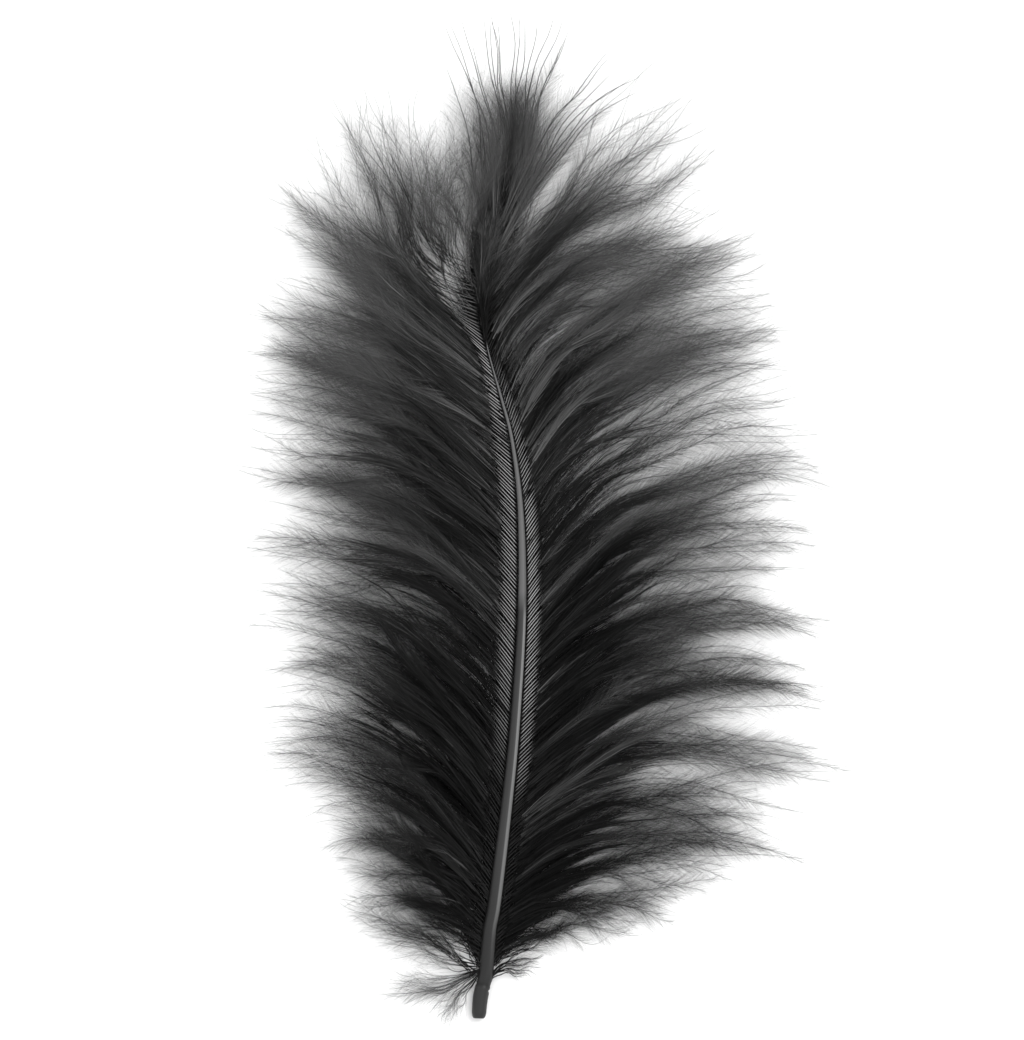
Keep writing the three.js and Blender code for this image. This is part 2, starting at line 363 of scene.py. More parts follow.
@dataclass
class Fibres:
    """A growing heap of fibres: points, faces and map, as arrays."""

    points: list[Array] = field(default_factory=list)
    faces: list[Array] = field(default_factory=list)
    spots: list[Array] = field(default_factory=list)
    count: int = 0

    def add(self, points: Array, faces: Array, spots: Array) -> None:
        """Adds many alike fibres.

        Args:
            points: (fibres, points of one, 3), in millimetres.
            faces: (faces of one, corners), the same for every fibre.
            spots: (fibres, points of one, 2), the place on the map.
        """
        fibres, each = points.shape[:2]
        starts = self.count + each * np.arange(fibres)
        self.points.append(points.reshape(-1, 3))
        self.faces.append((faces[None] + starts[:, None, None]).reshape(-1, faces.shape[1]))
        self.spots.append(spots.reshape(-1, 2))
        self.count += fibres * each

    def add_strips(
        self,
        root: Array,
        middle: Array,
        tip: Array,
        width: Array,
        tone: Array,
        rng: np.random.Generator,
    ) -> None:
        """Adds thin strips that bend at their middle and end in a point.

        Args:
            root: Where each strip starts.
            middle: Where it bends.
            tip: Where it ends.
            width: How wide it is at its root.
            tone: How pale it is, from 0 to 1.
            rng: Where the strips' random turns come from.
        """
        n = len(root)
        half = across(root, middle, width, rng)
        thin = half * BEND_WIDTH
        points = np.stack([root - half, root + half, middle + thin, middle - thin, tip], axis=1)
        u = np.clip(tone, *TONES)[:, None] + MAP_EDGE * np.array([[-1, 1, 1, -1, 0]])
        v = np.tile([0.0, 0.0, 0.5, 0.5, 1.0], (n, 1))
        starts = self.count + 5 * np.arange(n)
        self.add(points, np.array([[0, 1, 2, 3]]), np.stack([u, v], axis=-1))
        self.faces.append(starts[:, None] + np.array([[3, 2, 4]]))

    def add_needles(
        self, root: Array, tip: Array, width: Array, tone: Array, rng: np.random.Generator
    ) -> None:
        """Adds straight strips that taper to a point.

        Args:
            root: Where each strip starts.
            tip: Where it ends.
            width: How wide it is at its root.
            tone: How pale it is, from 0 to 1.
            rng: Where the strips' random turns come from.
        """
        half = across(root, tip, width, rng)
        points = np.stack([root - half, root + half, tip], axis=1)
        u = np.clip(tone, *TONES)[:, None] + MAP_EDGE * np.array([[-1, 1, 0]])
        v = np.tile([0.0, 0.0, 1.0], (len(root), 1))
        self.add(points, np.array([[0, 1, 2]]), np.stack([u, v], axis=-1))

    def triangles(self) -> int:
        """How many triangles the heap makes."""
        return sum(len(f) * (f.shape[1] - 2) for f in self.faces)

    def build(self, name: str) -> bpy.types.Object:
        """Makes one mesh object of the heap.

        Args:
            name: The piece's name.

        Returns:
            The object, at the origin.
        """
        points = np.vstack(self.points)
        points[:, 2] = np.maximum(points[:, 2], FLOOR_CLEARANCE)
        spots = np.vstack(self.spots)
        corners = np.concatenate([f.ravel() for f in self.faces])
        sizes = np.concatenate([np.full(len(f), f.shape[1]) for f in self.faces])
        starts = np.concatenate([[0], np.cumsum(sizes)[:-1]])
        mesh = bpy.data.meshes.new(name)
        mesh.vertices.add(len(points))
        mesh.vertices.foreach_set("co", to_frame(points).astype(np.float32).ravel())
        mesh.loops.add(len(corners))
        mesh.loops.foreach_set("vertex_index", corners.astype(np.int32))
        mesh.polygons.add(len(sizes))
        mesh.polygons.foreach_set("loop_start", starts.astype(np.int32))
        mesh.update(calc_edges=True)
        layer = mesh.uv_layers.new(name=MAP)
        layer.data.foreach_set("uv", spots[corners].astype(np.float32).ravel())
        LOG.info("%s: %d triangles", name, self.triangles())
        return place(name, mesh)


def place(name: str, mesh: bpy.types.Mesh) -> bpy.types.Object:
    """Puts a mesh in the scene as an object at the origin.

    Args:
        name: The piece's name.
        mesh: Its mesh.

    Returns:
        The object.
    """
    piece = bpy.data.objects.new(name, mesh)
    bpy.context.scene.collection.objects.link(piece)
    return piece


# ---- Finishes -----------------------------------------------------------------------------------


def linear(code: str) -> tuple[float, float, float, float]:
    """Turns an sRGB hex colour into linear colour.

    Args:
        code: The colour, as #rrggbb.

    Returns:
        Red, green and blue from 0 to 1, and full alpha.
    """
    values = [int(code[i : i + 2], 16) / 255 for i in (1, 3, 5)]
    turned = [v / 12.92 if v <= 0.04045 else ((v + 0.055) / 1.055) ** 2.4 for v in values]
    return (*turned, 1.0)


def add_node(
    tree: bpy.types.NodeTree,
    kind: str,
    settings: dict[str, object] | None = None,
    links: dict[str | int, bpy.types.NodeSocket] | None = None,
) -> bpy.types.Node:
    """Adds a node to a material.

    Args:
        tree: The material's node tree.
        kind: Blender's name for the kind of node.
        settings: Properties of the node by name, values of its inputs by "in:NAME", and a ramp's
            positions and hex colours by "stops".
        links: For each input, the output socket that feeds it.

    Returns:
        The node.
    """
    node = tree.nodes.new(kind)
    for key, value in (settings or {}).items():
        if key == "stops":
            elements = node.color_ramp.elements
            while len(elements) < len(value):
                elements.new(0.5)
            for element, (position, code) in zip(elements, value):
                element.position = position
                element.color = linear(code)
        elif key.startswith("in:"):
            name = key[3:]
            node.inputs[int(name) if name.isdigit() else name].default_value = value
        else:
            setattr(node, key, value)
    for name, socket in (links or {}).items():
        tree.links.new(socket, node.inputs[name])
    return node


@dataclass(frozen=True)
class Keratin:
    """The horn-like stuff of the whole plume, coloured by the place on each piece's own map."""

    name: str = "keratin"
    roughness: float = 0.5
    specular: float = 0.1
    ior: float = 1.55

    def build(self) -> bpy.types.Material:
        """Makes the material.

        Returns:
            The material.
        """
        material = bpy.data.materials.new(self.name)
        material.use_nodes = True
        tree = material.node_tree
        spot = add_node(tree, "ShaderNodeUVMap", {"uv_map": MAP})
        axes = add_node(tree, "ShaderNodeSeparateXYZ", links={0: spot.outputs["UV"]})
        shader = tree.nodes["Principled BSDF"]
        colour = self.colour(tree, axes.outputs["X"], axes.outputs["Y"])
        tree.links.new(colour, shader.inputs["Base Color"])
        shader.inputs["Roughness"].default_value = self.roughness
        shader.inputs["Specular IOR Level"].default_value = self.specular
        shader.inputs["IOR"].default_value = self.ior
        return material

    def colour(
        self, tree: bpy.types.NodeTree, u: bpy.types.NodeSocket, v: bpy.types.NodeSocket
    ) -> bpy.types.NodeSocket:
        """Adds the nodes that give the colour.

        Args:
            tree: The material's node tree.
            u: The map's first axis.
            v: The map's second axis.

        Returns:
            The socket that holds the colour.
        """
        raise NotImplementedError


@dataclass(frozen=True)
class DyedDown(Keratin):
    """Down dyed black: keratin barbules, matt from a step away, with a soft silky shine.

    The map's u is the strand's tone, from dark to pale. Dye takes unevenly on thin barbules, so
    the down is a range of near blacks and greys and not one black.
    """

    name: str = "dyed_down"
    specular: float = 0.06
    tones: Stops = ((0.0, "#050505"), (0.5, "#202020"), (0.8, "#383838"), (1.0, "#585858"))

    def colour(
        self, tree: bpy.types.NodeTree, u: bpy.types.NodeSocket, v: bpy.types.NodeSocket
    ) -> bpy.types.NodeSocket:
        """Adds the ramp of tones and returns its colour."""
        return add_node(tree, "ShaderNodeValToRGB", {"stops": self.tones}, {"Fac": u}).outputs[0]


@dataclass(frozen=True)
class BarbKeratin(Keratin):
    """The barbs' own shafts: flat glossy strips of keratin, with a painted highlight in pale grey on
    the bare base, dyed beyond.

    The map's u is how strong that painted highlight is on the barb. Its v runs to 0.5 over twice the
    bare base, and on to 1 at the barb's tip, where the thin keratin lets light through and looks paler.
    """

    name: str = "barb_keratin"
    roughness: float = 0.45
    # The pale grey of the painted highlight on the bare bases.
    highlight_tint: str = "#b2b2b2"
    # Where along the barb the painted highlight lies: over the bare base.
    bare: Stops = ((0.025, "#000000"), (0.06, "#ffffff"), (0.2, "#ffffff"), (0.32, "#000000"))
    dyed: Stops = ((0.51, "#0f0f0f"), (0.62, "#343434"), (0.85, "#545454"))

    def colour(
        self, tree: bpy.types.NodeTree, u: bpy.types.NodeSocket, v: bpy.types.NodeSocket
    ) -> bpy.types.NodeSocket:
        """Adds the painted highlight on the bare base over the dyed length.

        Args:
            tree: The material's node tree.
            u: How strong the painted highlight on the barb's bare base is.
            v: How far along the barb.

        Returns:
            The socket that holds the colour.
        """
        # The bare base, where the painted highlight lies.
        bare = add_node(tree, "ShaderNodeValToRGB", {"stops": self.bare}, {"Fac": v})
        dyed = add_node(tree, "ShaderNodeValToRGB", {"stops": self.dyed}, {"Fac": v})
        share = add_node(
            tree, "ShaderNodeMath", {"operation": "MULTIPLY"}, {0: bare.outputs[0], 1: u}
        )
        # The painted highlight's colour, mixed in over the dyed length.
        highlight_tint = {"data_type": "RGBA", "in:7": linear(self.highlight_tint)}
        both = {0: share.outputs[0], 6: dyed.outputs[0]}
        return add_node(tree, "ShaderNodeMix", highlight_tint, both).outputs[2]


@dataclass(frozen=True)
class ShaftKeratin(Keratin):
    """The shaft: horn-like keratin that black dye leaves grey, satin, with a painted highlight, a pale
    stripe right of its top, and painted shade on its flanks and underside.

    The map's u runs round the shaft: 0 is underneath, 0.25 the left edge, 0.5 the top and 0.75 the
    right edge. The map's v is the share of the shaft's length from the cut end.
    """

    name: str = "shaft_keratin"
    roughness: float = 0.42
    specular: float = 0.25
    # The painted shade on the shaft's flanks and underside.
    edge_shade: str = "#101010"
    # The painted highlight, a pale stripe right of the shaft's top.
    stripe_highlight: str = "#747474"
    # The face's colour by the distance from the cut end: the stub, a dark collar, then the shaft.
    face: Stops = (
        (0, "#242424"), (4.7, "#242424"), (5.1, "#101010"), (5.6, "#1f1f1f"), (12, "#1f1f1f"),
        (25, "#2b2b2b"), (61, "#2b2b2b"), (64, "#575757"), (101, "#575757"), (105, "#101010"),
    )
    # How strong the painted highlight stripe is, by the same distance.
    stripe_highlight_strength: Stops = (
        (6, "#000000"), (12, "#747474"), (18, "#d4d4d4"), (30, "#e0e0e0"), (44, "#ffffff"),
        (60, "#ffffff"), (63, "#000000"),
    )
    # Where round the shaft the painted highlight stripe is, and where the painted shade on its flanks
    # and underside is.
    stripe_highlight_around: Stops = (
        (0.545, "#000000"), (0.575, "#ffffff"), (0.655, "#ffffff"), (0.685, "#000000"),
    )
    edge_shade_around: Stops = (
        (0.31, "#ffffff"), (0.345, "#000000"), (0.655, "#000000"), (0.69, "#ffffff"),
    )

    def colour(
        self, tree: bpy.types.NodeTree, u: bpy.types.NodeSocket, v: bpy.types.NodeSocket
    ) -> bpy.types.NodeSocket:
        """Adds the painted highlight stripe and the painted shade on the flanks over the face.

        Args:
            tree: The material's node tree.
            u: The place round the shaft.
            v: The share of its length.

        Returns:
            The socket that holds the colour.
        """
        ramp = "ShaderNodeValToRGB"
        face = add_node(tree, ramp, {"stops": self.as_shares(self.face)}, {"Fac": v})
        stripe_strength = add_node(tree, ramp, {"stops": self.as_shares(self.stripe_highlight_strength)}, {"Fac": v})
        # Where round the shaft the painted highlight stripe lies.
        around = add_node(tree, ramp, {"stops": self.stripe_highlight_around}, {"Fac": u})
        # Where round the shaft the painted shade on the flanks and underside lies.
        edges = add_node(tree, ramp, {"stops": self.edge_shade_around}, {"Fac": u})
        both = {0: around.outputs[0], 1: stripe_strength.outputs[0]}
        share = add_node(tree, "ShaderNodeMath", {"operation": "MULTIPLY"}, both)
        stripe_highlight = {"data_type": "RGBA", "in:7": linear(self.stripe_highlight)}
        under = {0: share.outputs[0], 6: face.outputs[0]}
        with_stripe_highlight = add_node(tree, "ShaderNodeMix", stripe_highlight, under)
        edge_shade = {"data_type": "RGBA", "in:7": linear(self.edge_shade)}
        under = {0: edges.outputs[0], 6: with_stripe_highlight.outputs[2]}
        return add_node(tree, "ShaderNodeMix", edge_shade, under).outputs[2]

    @staticmethod
    def as_shares(stops: Stops) -> Stops:
        """Turns a ramp's distances from the cut end into shares of the shaft's length."""
        return tuple((place_at / Shaft.end, code) for place_at, code in stops)


@dataclass(frozen=True)
class Paper:
    """Plain white card that the plume lies on: matt, without a pattern."""

    name: str = "white_card"
    colour: str = "#f4f4f4"

    def build(self) -> bpy.types.Material:
        """Makes the material.

        Returns:
            The material.
        """
        material = bpy.data.materials.new(self.name)
        material.use_nodes = True
        shader = material.node_tree.nodes["Principled BSDF"]
        shader.inputs["Base Color"].default_value = linear(self.colour)
        shader.inputs["Roughness"].default_value = 1.0
        shader.inputs["Specular IOR Level"].default_value = 0.0
        return material


# ---- The shaft ----------------------------------------------------------------------------------


@dataclass
class Shaft:
    """The quill and rachis: a tapered, slightly bowed rod with a bare stub at its cut end."""

    # The radius by the distance from the cut end: a rounded end, the stub, a collar, the taper.
    radii: Steps = (
        (-0.1, 0.7), (0.1, 0.88), (0.35, 1.0), (0.8, 1.09), (3, 1.15), (4.6, 1.16), (5.1, 1.04),
        (6, 1.1), (9, 1.1), (12, 1.08), (18, 1.04), (33, 0.9), (48, 0.77), (63, 0.68),
        (72, 0.56), (78, 0.43), (87, 0.27), (93, 0.2), (97, 0.13), (105, 0.06), (130, 0.04),
    )
    end: float = 130.0
    # Its middle line starts the quill's radius above the surface, and rises to a height.
    quill_radius: float = 1.0
    height: float = 3.4
    lift_length: float = 30.0
    # Where barbs leave it, as shares of its radius.
    barbs_out: float = 0.9
    barbs_up: float = 0.3
    # How finely it is made. The foot, up to its distance, has rings of its own.
    sides: int = 24
    foot: float = 12.0
    foot_steps: int = 60
    steps: int = 110
    line_steps: int = 40
    # The chip in the stub's right edge: where it is, how wide and how deep.
    nick: tuple[float, float, float] = (4.35, 0.22, 0.2)

    def line(self) -> Array:
        """The middle line.

        Returns:
            Closely spaced points.
        """
        flat = smooth_line(np.array(SHAFT_LINE, float), self.line_steps)
        lift = smoothstep(flat[:, 1] / self.lift_length)
        heights = self.quill_radius + (self.height - self.quill_radius) * lift
        return np.column_stack([flat, heights])

    def at(self, along: Array) -> tuple[Array, Array]:
        """Where the shaft is, and where it heads.

        Args:
            along: Distances along +Y.

        Returns:
            The points, and the headings in radians.
        """
        line = self.line()
        point = np.stack([np.interp(along, line[:, 1], line[:, k]) for k in range(3)], axis=-1)
        step = 0.5
        ahead = np.interp(along + step, line[:, 1], line[:, 0])
        behind = np.interp(along - step, line[:, 1], line[:, 0])
        return point, np.arctan2(2 * step, ahead - behind)

    def radius(self, along: Array) -> Array:
        """The shaft's radius at distances along +Y."""
        return graded(self.radii, along)

    def build(self) -> bpy.types.Object:
        """Makes the rod by extruding its end ring along the middle line.

        Returns:
            The shaft's object.
        """
        line = self.line()
        foot = np.linspace(line[0, 1], self.foot, self.foot_steps, endpoint=False)
        stations = np.concatenate([foot, np.linspace(self.foot, self.end, self.steps)])
        points, headings = self.at(stations)
        rings = self.radius(stations)
        shape = bmesh.new()
        made = bmesh.ops.create_circle(shape, cap_ends=True, segments=self.sides, radius=1.0)
        ring = made["verts"]
        unit_ring = [vertex.co.copy() for vertex in ring]
        layer = shape.loops.layers.uv.new(MAP)
        turn = {vertex: (0.5 - k / self.sides) % 1.0 for k, vertex in enumerate(ring)}
        row = {vertex: 0.0 for vertex in ring}
        edges = list(shape.edges)
        self.lay_ring(ring, unit_ring, points[0], headings[0], rings[0])
        for k in range(1, len(stations)):
            out = bmesh.ops.extrude_edge_only(shape, edges=edges)["geom"]
            new_ring = [g for g in out if isinstance(g, bmesh.types.BMVert)]
            edges = [g for g in out if isinstance(g, bmesh.types.BMEdge) and g.is_boundary]
            order = self.match(ring, new_ring)
            for vertex, twin in zip(ring, order):
                turn[twin] = turn[vertex]
                row[twin] = stations[k] / self.end
            ring = order
            self.lay_ring(ring, unit_ring, points[k], headings[k], rings[k], self.notch(stations[k]))
        bmesh.ops.contextual_create(shape, geom=edges)
        for face in shape.faces:
            turns = [turn[loop.vert] for loop in face.loops]
            wraps = max(turns) - min(turns) > 0.5
            for loop, value in zip(face.loops, turns):
                around = value + 1.0 if wraps and value < 0.5 else value
                loop[layer].uv = (around, row[loop.vert])
        bmesh.ops.recalc_face_normals(shape, faces=shape.faces)
        mesh = bpy.data.meshes.new("shaft")
        shape.to_mesh(mesh)
        shape.free()
        mesh.shade_smooth()
        LOG.info("shaft: %d faces", len(mesh.polygons))
        return place("shaft", mesh)

    @staticmethod
    def match(
        ring: list[bmesh.types.BMVert], new_ring: list[bmesh.types.BMVert]
    ) -> list[bmesh.types.BMVert]:
        """Orders a fresh ring's vertices like the ring that it was extruded from.

        Args:
            ring: The older ring.
            new_ring: The fresh ring, which still lies on it.

        Returns:
            The fresh ring's vertices in the older one's order.
        """
        places = {tuple(round(c, 9) for c in vertex.co): vertex for vertex in new_ring}
        return [places[tuple(round(c, 9) for c in vertex.co)] for vertex in ring]

    def notch(self, along: float) -> float:
        """How deep the chip in the stub's right edge is, as a share of the radius."""
        place_at, width, depth = self.nick
        return depth * math.exp(-(((along - place_at) / width) ** 2))

    def lay_ring(
        self,
        ring: list[bmesh.types.BMVert],
        unit_ring: list[Vector],
        point: Array,
        heading: float,
        radius: float,
        notch: float = 0.0,
    ) -> None:
        """Puts a ring's vertices round a point of the middle line.

        Args:
            ring: The vertices.
            unit_ring: Where each is on a ring of radius 1.
            point: The ring's centre.
            heading: Which way the line runs there, in radians.
            radius: The ring's radius.
            notch: How far the right edge is cut in, as a share of the radius.
        """
        rightward = Vector((math.sin(heading), -math.cos(heading), 0.0))
        centre = Vector(to_frame(np.array([point]))[0])
        for vertex, corner in zip(ring, unit_ring):
            offset = rightward * min(corner.x, 1.0 - notch) + Vector((0.0, 0.0, corner.y))
            vertex.co = centre + offset * radius * MM
            vertex.co.z = max(vertex.co.z, 0.0)


# ---- The barbs ----------------------------------------------------------------------------------


@dataclass
class Guides:
    """The locks of one vane as curves seen from above."""

    locks: tuple[Lock, ...]
    side: Side
    shaft: Shaft
    # How far a lock runs on in its first and in its last heading, as shares of its span.
    root_reach: float = 0.42
    tip_reach: float = 0.36
    steps: int = 40
    stretch: float = 1.0  # how much further than the solid lock the finest barbs reach
    # The least of a lock that counts as dense, and how far past DENSE_EDGE the dense part goes.
    least_dense: float = 0.45
    dense_beyond: float = 3.0
    curves: Array = field(init=False)

    def __post_init__(self) -> None:
        """Works out the locks' curves, as (locks, steps + 1, 2) points."""
        share = np.linspace(0.0, 1.0, self.steps + 1)[:, None]
        found = []
        for lock in self.locks:
            root, heading = self.shaft.at(np.array(lock.root))
            start = root[:2]
            tip = start + self.stretch * (np.array([lock.tip_across, lock.tip_along]) - start)
            span = np.linalg.norm(tip - start)
            out = heading + self.side.value * math.radians(lock.leaving)
            end = math.radians(lock.heading)
            first = start + self.root_reach * span * np.array([math.cos(out), math.sin(out)])
            second = tip - self.tip_reach * span * np.array([math.cos(end), math.sin(end)])
            found.append(
                (1 - share) ** 3 * start
                + 3 * (1 - share) ** 2 * share * first
                + 3 * (1 - share) * share**2 * second
                + share**3 * tip
            )
        self.curves = np.stack(found)

    def number(self, station: Array) -> Array:
        """Where a station on the shaft comes in the row of locks."""
        return np.interp(station, [lock.root for lock in self.locks], np.arange(len(self.locks)))

    def value(self, name: str, number: Array) -> Array:
        """A lock's own value, such as its root, between the locks of the row."""
        return np.interp(
            number, np.arange(len(self.locks)), [getattr(lock, name) for lock in self.locks]
        )

    def sample(self, number: Array, share: Array) -> Array:
        """Points on the curves.

        Args:
            number: Where in the row of locks each point lies.
            share: Where along the lock each point lies.

        Returns:
            The points, with one axis more than the arguments.
        """
        last = len(self.locks) - 1.001
        number = np.clip(last - np.abs(last - np.abs(number)), 0.0, last)
        at = np.clip(share, 0.0, 0.9999) * self.steps
        row, step = number.astype(int), at.astype(int)
        between, rest = (number - row)[..., None], (at - step)[..., None]
        here = self.curves[row, step] * (1 - rest) + self.curves[row, step + 1] * rest
        there = self.curves[row + 1, step] * (1 - rest) + self.curves[row + 1, step + 1] * rest
        return here * (1 - between) + there * between

    def dense_shares(self) -> Array:
        """How much of each lock lies in the dense part.

        Returns:
            A share of the lock's length, for each lock.
        """
        along, left, right = np.array(DENSE_EDGE, float).T
        low = np.interp(self.curves[..., 1], along, left)
        high = np.interp(self.curves[..., 1], along, right)
        inside = (self.curves[..., 0] > low) & (self.curves[..., 0] < high)
        inside &= self.curves[..., 1] < along[-1] + self.dense_beyond
        return np.clip(inside.mean(axis=1), self.least_dense, 1.0)


@dataclass
class Vane:
    """The barbs of one part of the plume, with the down that they carry.

    Lengths and widths are in millimetres. A reach is a share of a lock's or a barb's length, and a
    spread is a standard deviation. Steps are by the place where a barb leaves the shaft.
    """

    name: str
    guides: Guides
    first: float
    last: float
    barbs: int
    seed: int
    # How far the barbs come. Some are hairs, which come nearest to the lock's tip.
    reach: float = 0.9
    reach_spread: float = 0.1
    reach_limits: tuple[float, float] = (0.35, 0.98)
    hairs: float = 0.2
    hair_reach: float = 0.0
    hair_width: float = 0.075
    base_extra: float = 0.04
    # How they lie: in groups that cling and are drawn to locks, with strays, waves and an arch.
    group_size: float = 2.2
    cling: float = 0.35
    bunching: float = 0.2
    stray: float = 0.3
    alone: float = 0.75
    wander: float = 1.2
    swing: float = 0.6
    swing_turns: float = 1.8
    sway: float = 0.7
    own_wave: float = 0.22
    lowest: float = 0.4
    top: float = 7.6
    tip_top: float = 3.4
    ripple: float = 0.35
    ripple_turns: float = 2.2
    # How long their bare bases are, how strong the painted highlight on those bases is, how pale the
    # down is, and how uneven.
    bare: Steps = level(3.0)
    highlight_share: Steps = level(0.02)
    pale: Steps = ((0, 0.05), (30, 0.18), (60, 0.44), (90, 0.66), (120, 0.8))
    fringe_pale: float = 0.45
    patches: float = 0.15
    uneven: float = 0.16
    # The combed strands, which lie along the barb. A fade of 1 thins them out to nothing.
    strands_per_mm: float = 3.6
    strand_reach: float = 0.55
    strand_fade: float = 0.7
    strand_length: float = 8.0
    strand_width: float = 0.1
    strand_spread: float = 0.36
    strand_rise: float = 0.4
    strand_uneven: float = 0.16
    # The undercoat, matted below the strands, with painted shade: it is coloured darker than the
    # strands over it.
    coat_per_mm: float = 1.2
    coat_width: float = 0.36
    coat_lengths: tuple[float, float] = (3.5, 6.0)
    coat_spread: float = 0.5
    coat_heights: tuple[float, float] = (-1.6, -0.7)
    coat_shade: float = 0.3
    # The barbules, which stand off the barb: how far along it they go, how close they are by the
    # share of that length, and how far they open, in degrees, near the shaft and further out.
    barbules_per_mm: float = 20.0
    barbule_length: float = 4.6
    barbule_width: float = 0.015
    covered: tuple[float, float] = (0.86, 0.97)
    fluffy: tuple[float, float] = (0.6, 0.9)
    fluff: Steps = ((0, 0.35), (0.25, 0.75), (0.45, 0.9), (0.6, 0.8), (0.8, 0.55), (1, 0.3))
    opening: float = 8.0
    opening_beyond: float = 24.0
    lift_alike: float = 5.0
    lift_spread: float = 10.0
    lean_spread: float = 0.14
    clump_pitch: float = 0.7
    # How unevenly long they are, and within which limits.
    length_spread: float = 0.38
    length_limits: tuple[float, float] = (0.4, 2.4)
    # The floss, the longest barbules, which drift along with the barb.
    floss_per_mm: float = 1.3
    floss_length: float = 9.0
    floss_width: float = 0.025
    floss_spread: float = 2.8
    floss_rise: float = 0.7
    # What grow() works out for every barb.
    lines: Array = field(init=False)
    stations: Array = field(init=False)
    numbers: Array = field(init=False)
    group: Array = field(init=False)
    travelled: Array = field(init=False)
    tones: Array = field(init=False)
    fluff_end: Array = field(init=False)
    fullness: Array = field(init=False)
    bares: Array = field(init=False)

    def grow(self) -> None:
        """Works out every barb's line, as (barbs, steps + 1, 3) points."""
        rng = np.random.default_rng(self.seed)
        guides, n = self.guides, self.barbs
        self.place_roots(rng)
        self.group = np.cumsum(rng.random(n) < 1.0 / self.group_size)
        self.bares = graded(self.bare, self.stations)
        share = np.linspace(0.0, 1.0, guides.steps + 1)[None, :] * self.reaches(rng)[:, None]
        flat = guides.sample(self.paths(share, rng), share)
        roots = self.roots()
        hold = ((1 - share) ** 3)[..., None]
        flat = flat + (roots[:, None, :2] - flat[:, :1]) * hold
        tangent = unit(np.gradient(flat, axis=1))
        aside = np.stack([-tangent[..., 1], tangent[..., 0]], axis=-1)
        flat = flat + aside * self.waves(share, rng)[..., None]
        heights = self.heights(share, roots[:, 2], rng)
        self.lines = np.concatenate([flat, heights[..., None]], axis=-1)
        steps = np.linalg.norm(np.diff(self.lines, axis=1), axis=-1)
        self.travelled = np.concatenate([np.zeros((n, 1)), np.cumsum(steps, axis=1)], axis=1)
        patches = self.patches * drift(self.numbers, 0.8, rng) + self.shared(0.1, rng)
        paler = graded(self.pale, self.stations)
        self.tones = paler + patches + rng.normal(0.0, self.uneven, n)
        self.fullness = guides.value("fullness", self.numbers)

    def reaches(self, rng: np.random.Generator) -> Array:
        """How far the barbs come. It also sets where along them their barbules end.

        Args:
            rng: Where the random values come from.

        Returns:
            The share of its lock that each barb follows.
        """
        n, numbers = self.barbs, self.numbers
        dense = np.interp(numbers, np.arange(len(self.guides.locks)), self.guides.dense_shares())
        is_hair = rng.random(n) < self.hairs
        mean = dense**0.5 * self.guides.value("reach", numbers) * self.reach
        spread = 0.8 * self.shared(self.reach_spread, rng) + rng.normal(0, 0.6, n) * self.reach_spread
        hair = rng.uniform(np.maximum(0.4 + 0.5 * dense, self.hair_reach), 1.0)
        hair_end = rng.uniform(*self.fluffy, n)
        self.fluff_end = np.where(is_hair, hair_end, rng.uniform(*self.covered, n))
        return np.where(is_hair, hair, np.clip(mean + spread, *self.reach_limits))

    def shared(self, spread: float, rng: np.random.Generator) -> Array:
        """Random values that the barbs of a group have in common."""
        return rng.normal(0.0, spread, self.group.max() + 1)[self.group]

    def paths(self, share: Array, rng: np.random.Generator) -> Array:
        """Where in the row of locks each barb runs.

        Neighbouring barbs cling together in small groups, a group is drawn to the nearest lock,
        and it strays from there, so that groups cross one another in the loose fringe.

        Args:
            share: The share of the way along, for each barb and step.
            rng: Where the random values come from.

        Returns:
            The place in the row, for each barb and step.
        """
        own = self.numbers
        members = np.maximum(np.bincount(self.group), 1)
        centre = (np.bincount(self.group, own) / members)[self.group]
        nearest = np.floor(centre) + smoothstep(smoothstep(centre % 1.0))
        cling = (self.cling * rng.uniform(0.4, 1.1, self.barbs))[:, None] * smoothstep(share * 1.4)
        drawn = self.bunching * rng.random(self.group.max() + 1)[self.group][:, None] * share**1.2
        drawn = drawn * eased(self.stations, 8.0, 22.0)[:, None]
        strays = self.shared(self.stray, rng)[:, None] * eased(share, 0.15, 0.85)
        alone = rng.normal(0.0, self.alone, self.barbs)[:, None] * smoothstep(share * 1.2)
        moved = own[:, None] + (centre - own)[:, None] * cling
        return moved + (nearest - centre)[:, None] * drawn + strays + alone

    def roots(self) -> Array:
        """Where the barbs leave the shaft: on its flank, a little above the middle.

        Returns:
            A point for each barb.
        """
        shaft = self.guides.shaft
        point, heading = shaft.at(self.stations)
        radius = shaft.radius(self.stations)
        out = self.guides.side.value * shaft.barbs_out * radius
        point[:, 0] -= out * np.sin(heading)
        point[:, 1] += out * np.cos(heading)
        point[:, 2] += shaft.barbs_up * radius
        return point

    def place_roots(self, rng: np.random.Generator) -> None:
        """Spaces the barbs' roots along the shaft, and finds where each comes in the row.

        Args:
            rng: Where the random values come from.
        """
        pitch = (self.last - self.first) / self.barbs
        even = np.linspace(self.first, self.last, self.barbs)
        self.stations = even + rng.uniform(-0.12, 0.12, self.barbs) * pitch
        self.numbers = self.guides.number(self.stations)

